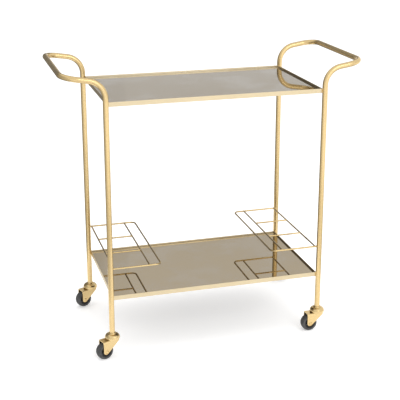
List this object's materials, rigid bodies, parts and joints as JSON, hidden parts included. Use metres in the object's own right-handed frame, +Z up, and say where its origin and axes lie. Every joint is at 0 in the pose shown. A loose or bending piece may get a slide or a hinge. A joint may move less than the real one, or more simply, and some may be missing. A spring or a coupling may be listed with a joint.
{
  "type": "bar cart on wheels",
  "caption": "Two-tier serving trolley of bent brass tube with mirrored trays, wire bottle racks, loop push handles and swivel casters.",
  "frame": {"origin": "on the floor at the centre of the cart's footprint", "axes": "+X along the cart towards the right push handle, +Y from front to back, +Z up"},
  "size_m": [0.897, 0.429, 0.8467],
  "materials": {
    "brass_tube": "satin",
    "brass_rail": "satin",
    "brass_wire": "satin",
    "caster_brass": "polished",
    "mirror": "polished",
    "bumper": "clear",
    "steel": "zinc plated",
    "hub": "matte",
    "tyre": "matte"
  },
  "bodies": {
    "frame": {"left_end_frame": "brass_tube", "right_end_frame": "brass_tube", "leg_inserts": "steel", "lower_tray_front_rail": "brass_rail", "lower_tray_rear_rail": "brass_rail", "lower_tray_left_rail": "brass_rail", "lower_tray_right_rail": "brass_rail", "lower_tray_mirror": "mirror", "lower_tray_mirror_pads": "bumper", "upper_tray_front_rail": "brass_rail", "upper_tray_rear_rail": "brass_rail", "upper_tray_left_rail": "brass_rail", "upper_tray_right_rail": "brass_rail", "upper_tray_mirror": "mirror", "upper_tray_mirror_pads": "bumper", "left_rack_outer_wire": "brass_wire", "left_rack_inner_rail": "brass_wire", "left_rack_back_rail": "brass_wire", "left_rack_dividers": "brass_wire", "right_rack_outer_wire": "brass_wire", "right_rack_inner_rail": "brass_wire", "right_rack_back_rail": "brass_wire", "right_rack_dividers": "brass_wire", "front_left_caster_stem": "steel", "front_left_caster_dome": "caster_brass", "front_left_caster_race": "steel", "front_right_caster_stem": "steel", "front_right_caster_dome": "caster_brass", "front_right_caster_race": "steel", "rear_left_caster_stem": "steel", "rear_left_caster_dome": "caster_brass", "rear_left_caster_race": "steel", "rear_right_caster_stem": "steel", "rear_right_caster_dome": "caster_brass", "rear_right_caster_race": "steel"},
    "front_left_fork_body": {"front_left_caster_fork": "caster_brass", "front_left_caster_balls": "steel", "front_left_caster_axle": "caster_brass"},
    "front_left_wheel_body": {"front_left_caster_hub": "hub", "front_left_caster_tyre": "tyre"},
    "front_right_fork_body": {"front_right_caster_fork": "caster_brass", "front_right_caster_balls": "steel", "front_right_caster_axle": "caster_brass"},
    "front_right_wheel_body": {"front_right_caster_hub": "hub", "front_right_caster_tyre": "tyre"},
    "rear_left_fork_body": {"rear_left_caster_fork": "caster_brass", "rear_left_caster_balls": "steel", "rear_left_caster_axle": "caster_brass"},
    "rear_left_wheel_body": {"rear_left_caster_hub": "hub", "rear_left_caster_tyre": "tyre"},
    "rear_right_fork_body": {"rear_right_caster_fork": "caster_brass", "rear_right_caster_balls": "steel", "rear_right_caster_axle": "caster_brass"},
    "rear_right_wheel_body": {"rear_right_caster_hub": "hub", "rear_right_caster_tyre": "tyre"}
  },
  "joints": [
    {"name": "front_left_swivel", "type": "hinge", "parent": "frame", "child": "front_left_fork_body", "pos_m": [-0.323, -0.187, 0.056], "axis": [0, 0, 1], "continuous": true},
    {"name": "front_left_wheel_roll", "type": "hinge", "parent": "front_left_fork_body", "child": "front_left_wheel_body", "pos_m": [-0.34884, -0.19641, 0.025], "axis": [-0.342, 0.9397, 0], "continuous": true},
    {"name": "front_right_swivel", "type": "hinge", "parent": "frame", "child": "front_right_fork_body", "pos_m": [0.323, -0.187, 0.056], "axis": [0, 0, 1], "continuous": true},
    {"name": "front_right_wheel_roll", "type": "hinge", "parent": "front_right_fork_body", "child": "front_right_wheel_body", "pos_m": [0.29557, -0.18892, 0.025], "axis": [-0.0698, 0.9976, 0], "continuous": true},
    {"name": "rear_left_swivel", "type": "hinge", "parent": "frame", "child": "rear_left_fork_body", "pos_m": [-0.323, 0.187, 0.056], "axis": [0, 0, 1], "continuous": true},
    {"name": "rear_left_wheel_roll", "type": "hinge", "parent": "rear_left_fork_body", "child": "rear_left_wheel_body", "pos_m": [-0.3485, 0.1767, 0.025], "axis": [-0.3746, 0.9272, 0], "continuous": true},
    {"name": "rear_right_swivel", "type": "hinge", "parent": "frame", "child": "rear_right_fork_body", "pos_m": [0.323, 0.187, 0.056], "axis": [0, 0, 1], "continuous": true},
    {"name": "rear_right_wheel_roll", "type": "hinge", "parent": "rear_right_fork_body", "child": "rear_right_wheel_body", "pos_m": [0.34884, 0.19641, 0.025], "axis": [0.342, -0.9397, 0], "continuous": true}
  ]
}
